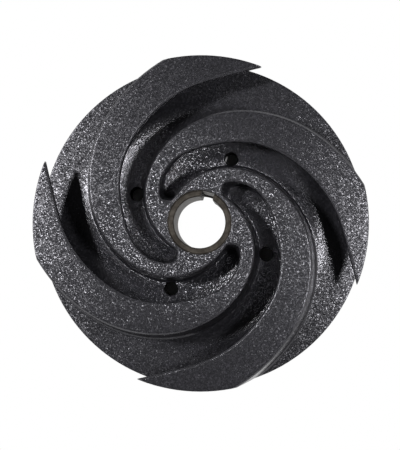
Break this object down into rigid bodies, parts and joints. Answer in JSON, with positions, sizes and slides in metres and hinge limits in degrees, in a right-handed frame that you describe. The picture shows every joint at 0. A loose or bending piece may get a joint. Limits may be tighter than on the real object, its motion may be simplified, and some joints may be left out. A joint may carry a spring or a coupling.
{
  "type": "pump impeller",
  "caption": "Cast semi-open pump impeller with backward-curved flanged vanes, a keyed bore and balance holes.",
  "frame": {"origin": "centre of the bore on the back face", "axes": "+Z along the bore axis, from the back face to the open side of the vanes"},
  "size_m": [0.208, 0.208, 0.038],
  "materials": {
    "casting": "rough cast, black paint, turned bare metal at the bore"
  },
  "bodies": {
    "root": {"impeller": "casting"}
  },
  "joints": []
}
